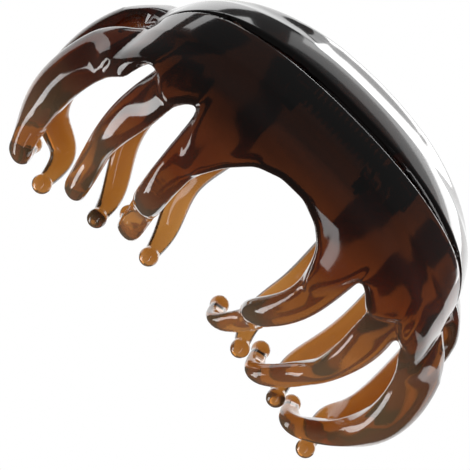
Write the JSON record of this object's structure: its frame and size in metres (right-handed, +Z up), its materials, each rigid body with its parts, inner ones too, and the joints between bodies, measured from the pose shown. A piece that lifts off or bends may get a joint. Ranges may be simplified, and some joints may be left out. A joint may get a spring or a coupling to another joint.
{
  "type": "octopus hair clip",
  "caption": "Covered-spring octopus hair clip: two domed jaws with curved, ball-tipped legs that interleave, pivoting on a pin under the roof.",
  "frame": {"origin": "centre of the clip on the table it stands on", "axes": "+X along the hinge pin, +Z up from the leg tips to the roof, front jaw on -Y"},
  "size_m": [0.1018, 0.0568, 0.0625],
  "materials": {
    "jaw_plastic": "glossy translucent dark brown moulded plastic",
    "pin_steel": "plain drawn steel",
    "spring_steel": "bright spring wire"
  },
  "bodies": {
    "front": {"front_jaw": "jaw_plastic", "hinge_pin": "pin_steel", "spring": "spring_steel"},
    "back": {"back_jaw": "jaw_plastic", "spring_arm": "spring_steel"}
  },
  "joints": [
    {"name": "jaw_hinge", "type": "hinge", "parent": "front", "child": "back", "pos_m": [0, 0, 0.0567], "axis": [1, 0, 0], "range_deg": [0, 25], "stiffness_Nm_per_rad": 0.16, "springref_deg": -17.76}
  ]
}
